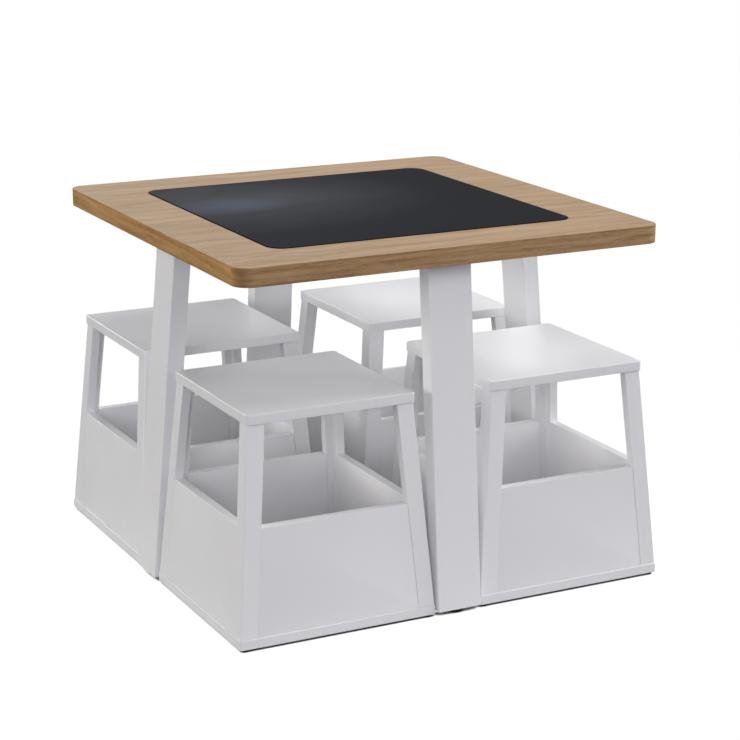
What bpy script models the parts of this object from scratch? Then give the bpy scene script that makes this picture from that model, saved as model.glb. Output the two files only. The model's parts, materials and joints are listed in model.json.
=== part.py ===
"""Kids activity table with four storage stools that nest in its corners.

Metres, +Z up. The origin is on the floor under the middle of the table, whose front faces -Y.
The table stands on four splayed legs, one at the middle of each side, and a writing board lies in
a recess of its wooden top and stands a little proud of it. Each stool is a tapered box on four
angle-section posts. Panels close the lower half between the posts, so that the stool holds things
under its seat.
"""

import math

import bmesh
import bpy
from mathutils import Matrix, Vector

# Table top and its writing board
TABLE_SIDE = 0.700
TABLE_HEIGHT = 0.563
TOP_THICKNESS = 0.028
TOP_CORNER_RADIUS = 0.025
TOP_ARRIS = 0.0006
WOOD_BORDER = 0.0965
BOARD_THICKNESS = 0.006
BOARD_CORNER_RADIUS = 0.025
BOARD_SIDE_GAP = 0.0008
BOARD_PROUD = 0.001
BOARD_ARRIS = 0.0006

# Table legs
LEG_WIDTH = 0.072
LEG_THICKNESS = 0.028
LEG_TOP_INSET = 0.033
LEG_FOOT_REACH = 0.014
LEG_LIFT = 0.008
LEG_ARRIS = 0.0012

# Steel angle that holds each leg under the top
BRACKET_WIDTH = 0.050
BRACKET_ARM = 0.040
BRACKET_THICKNESS = 0.0025
BRACKET_BEND = 0.002
BRACKET_SCREW_SPACING = 0.030
BRACKET_SCREW_FROM_END = 0.014

# Stools
STOOL_HEIGHT = 0.347
STOOL_LIFT = 0.0045
STOOL_TO_LEG_CLEARANCE = 0.0025
STOOL_BEHIND_FEET = 0.0055
SEAT_SETBACK = 0.025
SEAT_THICKNESS = 0.015
SEAT_CORNER_RADIUS = 0.005
SEAT_ARRIS = 0.0015
SEAT_OVERHANG = 0.002
BASE_THICKNESS = 0.015
BASE_CORNER_RADIUS = 0.004
BASE_ARRIS = 0.001
BASE_OVERHANG = 0.0015
POST_WIDTH = 0.027
POST_ARRIS = 0.0025
WALL = 0.015
PANEL_HEIGHT = 0.161
PANEL_ARRIS = 0.0006

# Glides: domed feet, fixed under the stools and pinned into the table legs
STOOL_GLIDE_DIAMETER = 0.015
STOOL_GLIDE_INSET = 0.010
LEG_GLIDE_DIAMETER = 0.020
LEG_GLIDE_PIN_DIAMETER = 0.005
LEG_GLIDE_PIN_LENGTH = 0.014
GLIDE_FLAT_SHARE = 0.6
GLIDE_RIM_SHARE = 0.55

# Bracket screws, and the glued dowels that stand out of the stools' posts and panels
SCREW_DIAMETER = 0.004
SCREW_LENGTH = 0.014
SCREW_TIP_LENGTH = 0.003
SCREW_HEAD_DIAMETER = 0.008
SCREW_HEAD_HEIGHT = 0.0024
HEAD_FACE_SHARE = 0.6
HEAD_RIM_SHARE = 0.5
DOWEL_DIAMETER = 0.006
DOWEL_REACH = 0.010

# Clearance between touching pieces, and how far a tool runs into or past a face
FIT_GAP = 0.0003
OVERRUN = 0.002

# Facets
CORNER_STEPS = 6
ARRIS_STEPS = 3
SMALL_STEPS = 6
GLIDE_STEPS = 12
GLIDE_DOME_STEPS = 2
WELD_DISTANCE = 0.00001
FLAT_ANGLE = math.radians(1)
BEVEL_ANGLE = math.radians(50)
SMOOTH_ANGLE = math.radians(40)

# Worked out for the table. The leg and its bracket are on the front side.
TOP_UNDERSIDE = TABLE_HEIGHT - TOP_THICKNESS
BOARD_SIDE = TABLE_SIDE - 2 * WOOD_BORDER
BOARD_FACE = TABLE_HEIGHT + BOARD_PROUD
BOARD_UNDERSIDE = BOARD_FACE - BOARD_THICKNESS
LEG_TOP = TOP_UNDERSIDE - FIT_GAP
LEG_SLOPE = (LEG_TOP_INSET + LEG_FOOT_REACH) / (LEG_TOP - LEG_LIFT)
LEG_TOP_FACE = -(TABLE_SIDE / 2 - LEG_TOP_INSET)
LEG_FOOT_FACE = -(TABLE_SIDE / 2 + LEG_FOOT_REACH)

# Worked out for the stools, whose base plates fill the quarters between the legs
BASE_INNER_EDGE = LEG_WIDTH / 2 + STOOL_TO_LEG_CLEARANCE
BASE_OUTER_EDGE = -LEG_FOOT_FACE - STOOL_BEHIND_FEET
STOOL_CENTRE = (BASE_OUTER_EDGE + BASE_INNER_EDGE) / 2
BASE_SIDE = BASE_OUTER_EDGE - BASE_INNER_EDGE
SEAT_SIDE = BASE_SIDE - 2 * SEAT_SETBACK
SEAT_UNDERSIDE = STOOL_HEIGHT - SEAT_THICKNESS
BASE_TOP = STOOL_LIFT + BASE_THICKNESS
POST_FOOT = BASE_TOP + FIT_GAP
POST_TOP = SEAT_UNDERSIDE - FIT_GAP
HALF_AT_FOOT = BASE_SIDE / 2 - BASE_OVERHANG
HALF_AT_TOP = SEAT_SIDE / 2 - SEAT_OVERHANG
STOOL_SLOPE = (HALF_AT_FOOT - HALF_AT_TOP) / (POST_TOP - POST_FOOT)

# Sides and corners, each a quarter turn on from the last
QUARTER = math.pi / 2
SIDES = ("front", "right", "back", "left")
CORNERS = {"front_left": (-1, -1), "front_right": (1, -1), "back_right": (1, 1), "back_left": (-1, 1)}

# Base colour, roughness and metallic value
FINISHES = {
    "oak": ((0.42, 0.28, 0.16), 0.45, 0),
    "blackboard": ((0.035, 0.038, 0.043), 0.6, 0),
    "white_lacquer": ((0.80, 0.80, 0.82), 0.35, 0),
    "black_plastic": ((0.015, 0.015, 0.016), 0.5, 0),
    "zinc_steel": ((0.55, 0.55, 0.53), 0.35, 1),
    "beech": ((0.55, 0.38, 0.22), 0.6, 0),
}


def clear_scene():
    for item in list(bpy.data.objects):
        bpy.data.objects.remove(item, do_unlink=True)


def new_collection(name):
    group = bpy.data.collections.new(name)
    bpy.context.scene.collection.children.link(group)
    return group


def make_materials():
    made = {}
    for name, (colour, roughness, metallic) in FINISHES.items():
        material = bpy.data.materials.new(name)
        material.use_nodes = True
        shader = material.node_tree.nodes["Principled BSDF"]
        shader.inputs["Base Color"].default_value = (*colour, 1)
        shader.inputs["Roughness"].default_value = roughness
        shader.inputs["Metallic"].default_value = metallic
        made[name] = material
    return made


# Ways of making a shape. A blank is a shape in the workshop, and is taken out once it is baked.

def blank(name, data):
    item = bpy.data.objects.new(name, data)
    WORKSHOP.objects.link(item)
    return item


def baked(item):
    """The blank's mesh with its modifiers applied. The blank is removed."""
    bpy.context.view_layer.update()
    evaluated = item.evaluated_get(bpy.context.evaluated_depsgraph_get())
    mesh = bpy.data.meshes.new_from_object(evaluated)
    bpy.data.objects.remove(item, do_unlink=True)
    return mesh


def corner_arc(centre, radius, turns, steps):
    """Points of a quarter circle that starts after some quarter turns from +X."""
    points = []
    for step in range(steps + 1):
        angle = QUARTER * (turns + step / steps)
        points.append((centre[0] + radius * math.cos(angle), centre[1] + radius * math.sin(angle)))
    return points


def rounded_rectangle(width, depth, radius, steps):
    x, y = width / 2 - radius, depth / 2 - radius
    points = []
    for turns, centre in enumerate(((x, y), (-x, y), (-x, -y), (x, -y))):
        points += corner_arc(centre, radius, turns, steps)
    return points


def angle_section(arm, thickness, radius, steps):
    """Outline of an angle section whose outer corner is at the origin, with arms along +X and +Y."""
    corner = corner_arc((radius, radius), radius, 2, steps)
    return corner + [(arm, 0), (arm, thickness), (thickness, thickness), (thickness, arm), (0, arm)]


def extruded(outline, bottom, top):
    """A blank with the outline's section between two heights."""
    curve = bpy.data.curves.new("outline", "CURVE")
    curve.dimensions = "2D"
    curve.fill_mode = "BOTH"
    curve.extrude = (top - bottom) / 2
    spline = curve.splines.new("POLY")
    spline.points.add(len(outline) - 1)
    for point, (x, y) in zip(spline.points, outline):
        point.co = (x, y, 0, 1)
    spline.use_cyclic_u = True
    mesh = baked(blank("outline", curve))
    edit = bmesh.new()
    edit.from_mesh(mesh)
    bmesh.ops.remove_doubles(edit, verts=edit.verts, dist=WELD_DISTANCE)
    bmesh.ops.dissolve_limit(edit, angle_limit=FLAT_ANGLE, verts=edit.verts, edges=edit.edges)
    bmesh.ops.translate(edit, verts=edit.verts, vec=(0, 0, (top + bottom) / 2))
    bmesh.ops.recalc_face_normals(edit, faces=edit.faces)
    edit.to_mesh(mesh)
    edit.free()
    return blank("extruded", mesh)


def turned(profile, steps):
    """A mesh turned about Z from (radius, height) points, listed from the top down."""
    mesh = bpy.data.meshes.new("profile")
    ends = [(index, index + 1) for index in range(len(profile) - 1)]
    mesh.from_pydata([(radius, 0, height) for radius, height in profile], ends, [])
    item = blank("turned", mesh)
    screw = item.modifiers.new("Turn", "SCREW")
    screw.steps = steps
    screw.render_steps = steps
    screw.use_merge_vertices = True
    screw.merge_threshold = WELD_DISTANCE
    return baked(item)


def lean(item, slope_x, slope_y, level):
    """Shift the blank sideways by its slopes times the height over the given level."""
    for vertex in item.data.vertices:
        rise = vertex.co.z - level
        vertex.co.x += slope_x * rise
        vertex.co.y += slope_y * rise
    return item


def bevelled(item, width, segments):
    bevel = item.modifiers.new("Arris", "BEVEL")
    bevel.width = width
    bevel.segments = segments
    bevel.limit_method = "ANGLE"
    bevel.angle_limit = BEVEL_ANGLE
    return blank("bevelled", baked(item))


def repeated(mesh, places):
    """One mesh with a separate copy of the shape at each place."""
    edit = bmesh.new()
    for place in places:
        copy = mesh.copy()
        copy.transform(place)
        edit.from_mesh(copy)
        bpy.data.meshes.remove(copy)
    made = bpy.data.meshes.new("repeated")
    edit.to_mesh(made)
    edit.free()
    return made


def gathered(meshes):
    """One mesh with several separate shapes."""
    edit = bmesh.new()
    for mesh in meshes:
        edit.from_mesh(mesh)
    made = bpy.data.meshes.new("gathered")
    edit.to_mesh(made)
    edit.free()
    return made


def combined(item, operation, shapes):
    tool = blank("tool", shapes)
    tool.display_type = "WIRE"
    tool.hide_render = True
    boolean = item.modifiers.new("Combine", "BOOLEAN")
    boolean.operation = operation
    boolean.material_mode = "TRANSFER"
    boolean.object = tool
    mesh = baked(item)
    bpy.data.objects.remove(tool, do_unlink=True)
    return mesh


def cut(item, shapes):
    """The blank's mesh with the shapes taken out of it."""
    return combined(item, "DIFFERENCE", shapes)


def joined(item, shapes):
    """The blank's mesh with the shapes joined to it, each keeping its own finish."""
    return combined(item, "UNION", shapes)


def finished(mesh, finish):
    mesh.materials.clear()
    mesh.materials.append(MATERIALS[finish])
    return mesh


def smooth(mesh):
    mesh.shade_smooth()
    mesh.set_sharp_from_angle(angle=SMOOTH_ANGLE)
    return mesh


def at(x, y, z):
    return Matrix.Translation(Vector((x, y, z)))


def all_round(places):
    """The front side's places, turned to each of the four sides."""
    turns = [Matrix.Rotation(QUARTER * turn, 4, "Z") for turn in range(len(SIDES))]
    return [turn @ spot for turn in turns for spot in places]


# Small hardware. Each points up from level zero.

def rod(diameter, bottom, top, steps=SMALL_STEPS):
    radius = diameter / 2
    return turned([(0, top), (radius, top), (radius, bottom), (0, bottom)], steps)


def glide_dome(diameter, height):
    """Lower half of a glide's profile: a rounded rim down to a flat foot."""
    radius = diameter / 2
    flat, rim = radius * GLIDE_FLAT_SHARE, height * GLIDE_RIM_SHARE
    points = []
    for step in range(GLIDE_DOME_STEPS + 1):
        angle = QUARTER * step / GLIDE_DOME_STEPS
        points.append((flat + (radius - flat) * math.cos(angle), rim * (1 - math.sin(angle))))
    return points + [(0, 0)]


def stool_glide():
    """Runs up into the base plate, to which it is joined."""
    top, radius = STOOL_LIFT + OVERRUN, STOOL_GLIDE_DIAMETER / 2
    return turned([(0, top), (radius, top)] + glide_dome(STOOL_GLIDE_DIAMETER, STOOL_LIFT), GLIDE_STEPS)


def leg_glide():
    top, tip, pin = LEG_LIFT - FIT_GAP, LEG_LIFT + LEG_GLIDE_PIN_LENGTH, LEG_GLIDE_PIN_DIAMETER / 2
    stem = [(0, tip), (pin, tip), (pin, top), (LEG_GLIDE_DIAMETER / 2, top)]
    return turned(stem + glide_dome(LEG_GLIDE_DIAMETER, LEG_LIFT), GLIDE_STEPS)


def leg_glide_socket():
    diameter, top = LEG_GLIDE_PIN_DIAMETER + 2 * FIT_GAP, LEG_LIFT + LEG_GLIDE_PIN_LENGTH + FIT_GAP
    return rod(diameter, LEG_LIFT - OVERRUN, top, GLIDE_STEPS)


def screw():
    """Pan head screw whose head hangs below level zero, with the shank above."""
    shank, head, drop = SCREW_DIAMETER / 2, SCREW_HEAD_DIAMETER / 2, -SCREW_HEAD_HEIGHT
    profile = [(0, SCREW_LENGTH), (shank, SCREW_LENGTH - SCREW_TIP_LENGTH), (shank, 0), (head, 0),
               (head, drop * HEAD_RIM_SHARE), (head * HEAD_FACE_SHARE, drop), (0, drop)]
    return turned(profile, SMALL_STEPS)


def screw_hole():
    return rod(SCREW_DIAMETER + 2 * FIT_GAP, 0, SCREW_LENGTH + FIT_GAP)


def dowel():
    """The free end of a dowel that stands up out of level zero, and its root below."""
    return rod(DOWEL_DIAMETER, -OVERRUN, DOWEL_REACH)


def dowel_hole():
    return rod(DOWEL_DIAMETER + 2 * FIT_GAP, -OVERRUN, DOWEL_REACH + FIT_GAP)


# Table

def leg_inner_face(level):
    """Y of the front leg's inner face at a height."""
    return LEG_TOP_FACE + LEG_THICKNESS - LEG_SLOPE * (LEG_TOP - level)


def bracket_screw_places():
    """Where the front bracket's screws sit: two go up into the top and two out into the leg."""
    top_y = leg_inner_face(LEG_TOP) + FIT_GAP + BRACKET_ARM - BRACKET_SCREW_FROM_END
    leg_z = LEG_TOP - BRACKET_ARM + BRACKET_SCREW_FROM_END
    leg_y = leg_inner_face(leg_z) + BRACKET_THICKNESS
    outward = Matrix.Rotation(QUARTER - math.atan(LEG_SLOPE), 4, "X")
    places = []
    for side in (-1, 1):
        x = side * BRACKET_SCREW_SPACING / 2
        places += [at(x, top_y, LEG_TOP - BRACKET_THICKNESS + FIT_GAP), at(x, leg_y, leg_z) @ outward]
    return places


def make_top():
    outline = rounded_rectangle(TABLE_SIDE, TABLE_SIDE, TOP_CORNER_RADIUS, CORNER_STEPS)
    slab = bevelled(extruded(outline, TOP_UNDERSIDE, TABLE_HEIGHT), TOP_ARRIS, 2)
    side, radius = BOARD_SIDE + 2 * BOARD_SIDE_GAP, BOARD_CORNER_RADIUS + BOARD_SIDE_GAP
    recess_outline = rounded_rectangle(side, side, radius, CORNER_STEPS)
    recess = baked(extruded(recess_outline, BOARD_UNDERSIDE - FIT_GAP, TABLE_HEIGHT + OVERRUN))
    holes = repeated(screw_hole(), all_round(bracket_screw_places()))
    return cut(slab, gathered([recess, holes]))


def make_board():
    outline = rounded_rectangle(BOARD_SIDE, BOARD_SIDE, BOARD_CORNER_RADIUS, CORNER_STEPS)
    return baked(bevelled(extruded(outline, BOARD_UNDERSIDE, BOARD_FACE), BOARD_ARRIS, 1))


def under_leg():
    return at(0, LEG_FOOT_FACE + LEG_THICKNESS / 2, 0)


def make_leg():
    """The front leg, which leans inwards as it rises."""
    outline = rounded_rectangle(LEG_WIDTH, LEG_THICKNESS, LEG_ARRIS, ARRIS_STEPS)
    leg = lean(extruded(outline, LEG_LIFT, LEG_TOP), 0, LEG_SLOPE, LEG_TOP)
    leg.data.transform(at(0, LEG_TOP_FACE + LEG_THICKNESS / 2, 0))
    holes = repeated(screw_hole(), bracket_screw_places())
    return cut(leg, gathered([holes, repeated(leg_glide_socket(), [under_leg()])]))


def make_bracket():
    """The front bracket and its screws: an arm under the top, and one down the leg's leaning face."""
    section = angle_section(BRACKET_ARM, BRACKET_THICKNESS, BRACKET_BEND, ARRIS_STEPS)
    bracket = extruded(section, -BRACKET_WIDTH / 2, BRACKET_WIDTH / 2)
    bracket.data.transform(Matrix.Rotation(QUARTER, 4, "Y"))
    lean(bracket, 0, LEG_SLOPE, 0)
    bracket.data.transform(at(0, leg_inner_face(LEG_TOP) + FIT_GAP, LEG_TOP))
    return joined(bracket, repeated(screw(), bracket_screw_places()))


# Stool, about its own middle. Its sides and corners are alike, so each is made once, at the front.

def half_width(level):
    """Half the outer width of the stool's body at a height."""
    return HALF_AT_FOOT - STOOL_SLOPE * (level - POST_FOOT)


def middle_of_wall(half):
    return -(half - WALL / 2)


def base_dowel_places():
    """Dowels of the front side that go down into the base plate: the panel's and the left post's."""
    y, down = middle_of_wall(HALF_AT_FOOT), Matrix.Rotation(2 * QUARTER, 4, "X")
    return [at(0, y, POST_FOOT) @ down, at(y, y, POST_FOOT) @ down]


def seat_dowel_place():
    corner = middle_of_wall(HALF_AT_TOP)
    return at(corner, corner, POST_TOP)


def make_seat():
    outline = rounded_rectangle(SEAT_SIDE, SEAT_SIDE, SEAT_CORNER_RADIUS, ARRIS_STEPS)
    seat = bevelled(extruded(outline, SEAT_UNDERSIDE, STOOL_HEIGHT), SEAT_ARRIS, 2)
    return cut(seat, repeated(dowel_hole(), all_round([seat_dowel_place()])))


def make_base_plate():
    """The plate that the posts and panels stand on, with its four glides."""
    outline = rounded_rectangle(BASE_SIDE, BASE_SIDE, BASE_CORNER_RADIUS, ARRIS_STEPS)
    plate = bevelled(extruded(outline, STOOL_LIFT, BASE_TOP), BASE_ARRIS, 1)
    drilled = finished(cut(plate, repeated(dowel_hole(), all_round(base_dowel_places()))), "white_lacquer")
    corner = -(BASE_SIDE / 2 - STOOL_GLIDE_INSET)
    glides = finished(repeated(stool_glide(), all_round([at(corner, corner, 0)])), "black_plastic")
    return joined(blank("drilled", drilled), glides)


def make_post():
    """The front left post, which leans inwards both ways as it rises, with a dowel at each end."""
    section = angle_section(POST_WIDTH, WALL, POST_ARRIS, ARRIS_STEPS)
    post = lean(extruded(section, POST_FOOT, POST_TOP), STOOL_SLOPE, STOOL_SLOPE, POST_FOOT)
    post.data.transform(at(-HALF_AT_FOOT, -HALF_AT_FOOT, 0))
    finished(post.data, "white_lacquer")
    dowels = repeated(dowel(), [base_dowel_places()[1], seat_dowel_place()])
    return joined(post, finished(dowels, "beech"))


def make_panel():
    """The front panel, with its dowel. Its ends follow the posts, and it leans with them."""
    edit = bmesh.new()
    bmesh.ops.create_cube(edit, size=2)
    for vertex in edit.verts:
        level = POST_FOOT + PANEL_HEIGHT * (1 + vertex.co.z) / 2
        half = half_width(level)
        x = vertex.co.x * (half - POST_WIDTH - FIT_GAP)
        y = WALL * (1 + vertex.co.y) / 2 - half
        vertex.co = (x, y, level)
    mesh = bpy.data.meshes.new("panel")
    edit.to_mesh(mesh)
    edit.free()
    board = finished(baked(bevelled(blank("panel", mesh), PANEL_ARRIS, 1)), "white_lacquer")
    return joined(blank("board", board), finished(repeated(dowel(), base_dowel_places()[:1]), "beech"))


# Putting the pieces in place

def stand(name, mesh, parent=None, turn=0):
    """A named piece in the model, turned by quarters about its parent's upright axis."""
    item = bpy.data.objects.new(name, mesh)
    item.rotation_euler = (0, 0, QUARTER * turn)
    item.parent = parent
    MODEL.objects.link(item)
    return item


def build_table():
    stand("table_top", smooth(finished(make_top(), "oak")))
    stand("chalkboard", smooth(finished(make_board(), "blackboard")))
    each_side = {
        "leg": smooth(finished(make_leg(), "white_lacquer")),
        "leg_glide": smooth(finished(repeated(leg_glide(), [under_leg()]), "black_plastic")),
        "leg_bracket": smooth(finished(make_bracket(), "zinc_steel")),
    }
    for turn, side in enumerate(SIDES):
        for piece, mesh in each_side.items():
            stand(f"{side}_{piece}", mesh, turn=turn)


def make_stool_meshes():
    made = {"seat": finished(make_seat(), "white_lacquer"), "base_plate": make_base_plate(),
            "post": make_post(), "panel": make_panel()}
    return {piece: smooth(mesh) for piece, mesh in made.items()}


def build_stool(corner, meshes):
    """A stool on an empty on its own upright axis, which slides out along its corner's diagonal."""
    across, along = CORNERS[corner]
    axis = stand(f"{corner}_stool", None)
    axis.location = (across * STOOL_CENTRE, along * STOOL_CENTRE, 0)
    stand(f"{corner}_stool_seat", meshes["seat"], axis)
    stand(f"{corner}_stool_base_plate", meshes["base_plate"], axis)
    for turn, side in enumerate(SIDES):
        stand(f"{corner}_stool_{side}_panel", meshes["panel"], axis, turn)
    for turn, post in enumerate(CORNERS):
        stand(f"{corner}_stool_{post}_post", meshes["post"], axis, turn)


clear_scene()
WORKSHOP = new_collection("workshop")
MODEL = new_collection("kids_activity_table_with_stools")
MATERIALS = make_materials()
build_table()
stool_meshes = make_stool_meshes()
for stool_corner in CORNERS:
    build_stool(stool_corner, stool_meshes)
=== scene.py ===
"""Kids' activity table with four stools: the fine surfaces, the finishes, the light and the camera.

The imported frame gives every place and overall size. Each board, post, foot and angle is made again
here as a fine closed surface, and stands for the plain solid that it replaces.
"""
import json
import math

import bpy
import numpy as np
from mathutils import Matrix, Vector

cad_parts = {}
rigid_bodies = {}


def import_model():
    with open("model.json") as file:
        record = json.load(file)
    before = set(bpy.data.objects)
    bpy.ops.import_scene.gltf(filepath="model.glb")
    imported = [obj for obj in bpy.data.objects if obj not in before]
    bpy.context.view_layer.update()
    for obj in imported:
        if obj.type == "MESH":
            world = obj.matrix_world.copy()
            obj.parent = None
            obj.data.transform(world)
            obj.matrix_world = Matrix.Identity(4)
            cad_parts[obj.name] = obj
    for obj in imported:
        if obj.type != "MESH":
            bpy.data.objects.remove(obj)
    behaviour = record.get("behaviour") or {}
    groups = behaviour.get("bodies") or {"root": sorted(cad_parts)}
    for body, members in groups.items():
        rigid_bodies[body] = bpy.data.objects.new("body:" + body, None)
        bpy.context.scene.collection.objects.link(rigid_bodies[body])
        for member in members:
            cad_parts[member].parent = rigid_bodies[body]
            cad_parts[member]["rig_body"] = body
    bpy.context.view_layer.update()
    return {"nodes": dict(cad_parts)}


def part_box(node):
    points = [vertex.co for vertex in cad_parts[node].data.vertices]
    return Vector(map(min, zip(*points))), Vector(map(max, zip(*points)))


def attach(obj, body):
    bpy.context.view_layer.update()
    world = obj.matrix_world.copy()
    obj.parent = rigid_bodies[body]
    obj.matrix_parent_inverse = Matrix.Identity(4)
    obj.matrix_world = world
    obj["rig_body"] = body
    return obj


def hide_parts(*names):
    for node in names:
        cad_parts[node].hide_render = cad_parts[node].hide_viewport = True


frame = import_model()

QUARTER = math.pi / 2
FIT_GAP = 0.0003

# Boards and timber, in metres
TOP_CORNER_RADIUS = 0.025
TOP_ARRIS = 0.0006
BOARD_CORNER_RADIUS = 0.025
BOARD_SIDE_GAP = 0.0008
BOARD_ARRIS = 0.0004
BOARD_RIM = 0.0012
RECESS_ARRIS = 0.0004
LEG_THICKNESS = 0.028
LEG_ARRIS = 0.0012
SEAT_CORNER_RADIUS = 0.005
SEAT_ARRIS = 0.0009
BASE_THICKNESS = 0.015
BASE_CORNER_RADIUS = 0.004
BASE_ARRIS = 0.001
POST_WIDTH = 0.027
WALL = 0.015
POST_ARRIS = 0.0025
POST_END_ARRIS = 0.0008
POST_CUT_ARRIS = 0.0003
PANEL_ARRIS = 0.0006
PANEL_SETBACK = 0.0005

# Feet
STOOL_GLIDE_DIAMETER = 0.015
STOOL_GLIDE_INSET = 0.010
LEG_GLIDE_DIAMETER = 0.020
GLIDE_FLAT_SHARE = 0.6
GLIDE_RIM_SHARE = 0.55
GLIDE_NAIL_DIAMETER = 0.0036
GLIDE_NAIL_DEPTH = 0.0009

# Steel angles and their screws
BRACKET_WIDTH = 0.050
BRACKET_ARM = 0.040
BRACKET_THICKNESS = 0.0025
BRACKET_BEND = 0.002
BRACKET_CORNER_RADIUS = 0.007
BRACKET_ARRIS = 0.0005
BRACKET_SCREW_SPACING = 0.030
BRACKET_SCREW_FROM_END = 0.014
SCREW_HEAD_DIAMETER = 0.008
SCREW_HEAD_HEIGHT = 0.0024
SCREW_RIM_SHARE = 0.35
SCREW_SLOT_WIDTH = 0.0011
SCREW_SLOT_LENGTH = 0.0042
SCREW_SLOT_DEPTH = 0.0016
SCREW_SLOT_EASE = 0.0002
SCREW_UNDERSIDE_SHARE = 0.9
SCREW_CROWN_SHARE = 0.02
SCREW_SPIN = 0.7

# How finely curves are divided
CORNER_STEPS = 16
ARRIS_STEPS = 5
AROUND_STEPS = 48
BEND_STEPS = 8
SCREW_DOME_STEPS = 25
ARM_END_SHARES = (0, 0.03, 0.09, 0.2)
ARM_SHARES = (0.35, 0.9)

SIDES = ("front", "right", "back", "left")
CORNERS = ("front_left", "front_right", "back_right", "back_left")

# Oak veneer. Tones run from dark to light, scales are a noise's along the grain and across it, per
# metre, and the wave is how far the figure wanders across it, in metres.
FACE_VENEER = {
    "tones": ((0.36, 0.240, 0.140), (0.47, 0.327, 0.205), (0.55, 0.394, 0.256)),
    "contrast": 2.1, "gloss": 0.60, "wave": 0.010,
    "figure_scale": (3.0, 48.0), "line_scale": (14.0, 260.0), "pore_scale": (75.0, 1200.0),
}
BAND_VENEER = {
    "tones": ((0.27, 0.155, 0.072), (0.42, 0.255, 0.128), (0.51, 0.333, 0.180)),
    "contrast": 2.6, "gloss": 0.55, "wave": 0.0012,
    "figure_scale": (7.0, 150.0), "line_scale": (45.0, 560.0), "pore_scale": (110.0, 900.0),
}
WANDER_SCALE = (11.0, 22.0, 1.0)
CLOUD_SCALE = (3.0, 9.0, 1.0)
FIGURE_SHARE, LINE_SHARE, CLOUD_SHARE = 0.50, 0.32, 0.18
PORE_TONE_SHARE = 0.62

# Where painted shade darkens the top's face towards its left end, along x, and by how much
LEFT_PAINTED_SHADE_SPAN = (-0.36, -0.06)
LEFT_PAINTED_SHADE = 0.11

# The band's warm tint on the two sides, and the painted shade round its corners, left and right
SIDE_TINT = (1.12, 1.02, 0.66)
BEND_PAINTED_SHADE_SPAN = (-0.2, 0.2)
BEND_PAINTED_SHADE = (1.4, 0.3)
BEND_PAINTED_SHADE_TONE = (0.02, 0.01, 0.0)

# The writing board's paint, and lighter patches in its colour: middle and reach in x and y, then tint
BOARD_PAINT = (0.023, 0.025, 0.030)
LIGHTER_PATCHES = (
    ((-0.16, 0.10), (0.34, 0.26), (0.072, 0.074, 0.083)),
    ((-0.18, 0.07), (0.12, 0.07), (0.088, 0.100, 0.137)),
)

# The plain finishes: darker and lighter tone, roughness from and to, and relief in metres
PAINT_ROUGHNESS, PAINT_TOOTH = (0.55, 0.75), 0.00006
SEALER_TONES = ((0.007, 0.006, 0.006), (0.013, 0.012, 0.012))
SEALER_ROUGHNESS, SEALER_RELIEF = (0.8, 0.95), 0.00004
LACQUER_TONES = ((0.874, 0.870, 0.884), (0.894, 0.890, 0.904))
LACQUER_ROUGHNESS, LACQUER_DIMPLES, LACQUER_STREAKS = (0.36, 0.44), 0.00008, 0.00012
PLASTIC_TONES = ((0.012, 0.012, 0.013), (0.024, 0.024, 0.025))
PLASTIC_ROUGHNESS, PLASTIC_RELIEF = (0.42, 0.6), 0.00005
ZINC_TONES = ((0.50, 0.50, 0.48), (0.66, 0.66, 0.65))
ZINC_ROUGHNESS, ZINC_RELIEF = (0.30, 0.46), 0.00003
FACE_RELIEF, BAND_RELIEF = 0.00008, 0.00010

# Scales of their noises, per metre
TOOTH_SCALE = 900.0
SEALER_SCALE = 350.0
LACQUER_CLOUD_SCALE = 7.0
DIMPLE_SCALE = 420.0
PLASTIC_GRAIN_SCALE = 2600.0
PLASTIC_WEAR_SCALE = 300.0
ROLLED_SCALE = (60.0, 1500.0, 1500.0)
ZINC_PATCH_SCALE = 130.0
PATCH_NOISE_SCALE = (6.0, 11.0, 1.0)
BOARD_STREAKS = (18.0, 18.0, 18.0)
TIMBER_STREAKS = (160.0, 160.0, 5.0)

# How much of a noise's range is read: most of it, its middle half, and its core
WIDE_SPAN = (0.2, 0.8)
HALF_SPAN = (0.25, 0.75)
CORE_SPAN = (0.3, 0.7)
PORE_SPAN = (0.58, 0.72)

# The camera stands where the photograph was taken from, in metres and radians
CAMERA_PLACE = (-1.4731, -2.94185, 1.19709)
CAMERA_YAW = -0.47299
CAMERA_PITCH = -0.2686
CAMERA_ROLL = 0.00251
CAMERA_LENS = 102.577
CAMERA_SENSOR = 36.0

# Soft lights, each as far away as a sun: name, azimuth and elevation as seen from the table, width of
# its disc, all in degrees, then strength and colour. Azimuth 0 is in front, 90 on the right.
SOFT_LIGHTS = (
    ("right_light", 90, 30, 30, 2.6, (1.0, 1.0, 1.0)),
    ("back_low_light", 180, 10, 24, 1.2, (1.0, 1.0, 0.98)),
    ("left_low_light", -90, 10, 24, 0.9, (1.0, 0.97, 0.91)),
    ("back_left_low_light", -150, 10, 24, 0.85, (1.0, 1.0, 1.0)),
    ("back_light", 180, 30, 30, 0.85, (0.96, 0.97, 1.0)),
    ("front_right_light", 45, 30, 30, 0.8, (0.98, 0.97, 1.0)),
    ("front_left_low_light", -30, 10, 24, 0.7, (0.93, 0.94, 1.0)),
    ("front_left_light", -45, 30, 30, 0.45, (1.0, 0.98, 1.0)),
    ("right_low_light", 60, 10, 24, 0.4, (1.0, 0.96, 0.94)),
    ("front_light", 0, 30, 30, 0.2, (0.93, 0.93, 1.0)),
)
ROOM_GLOW = 0.02
FLOOR_SIDE = 60.0
FLOOR_COLOUR = (0.86, 0.86, 0.86)
FLOOR_WHITE = 1.0

# The painted contact shadow on the floor close under the object: how far it looks for something above, and
# the open shares of the sky between which it fades from black to white
CONTACT_SHADOW_REACH = 0.040
CONTACT_SHADOW_SPAN = (0.15, 0.25)
CONTACT_SHADOW_SAMPLES = 40


# Outlines. Each gives its points, counterclockwise, and the outward direction at each point.

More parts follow.
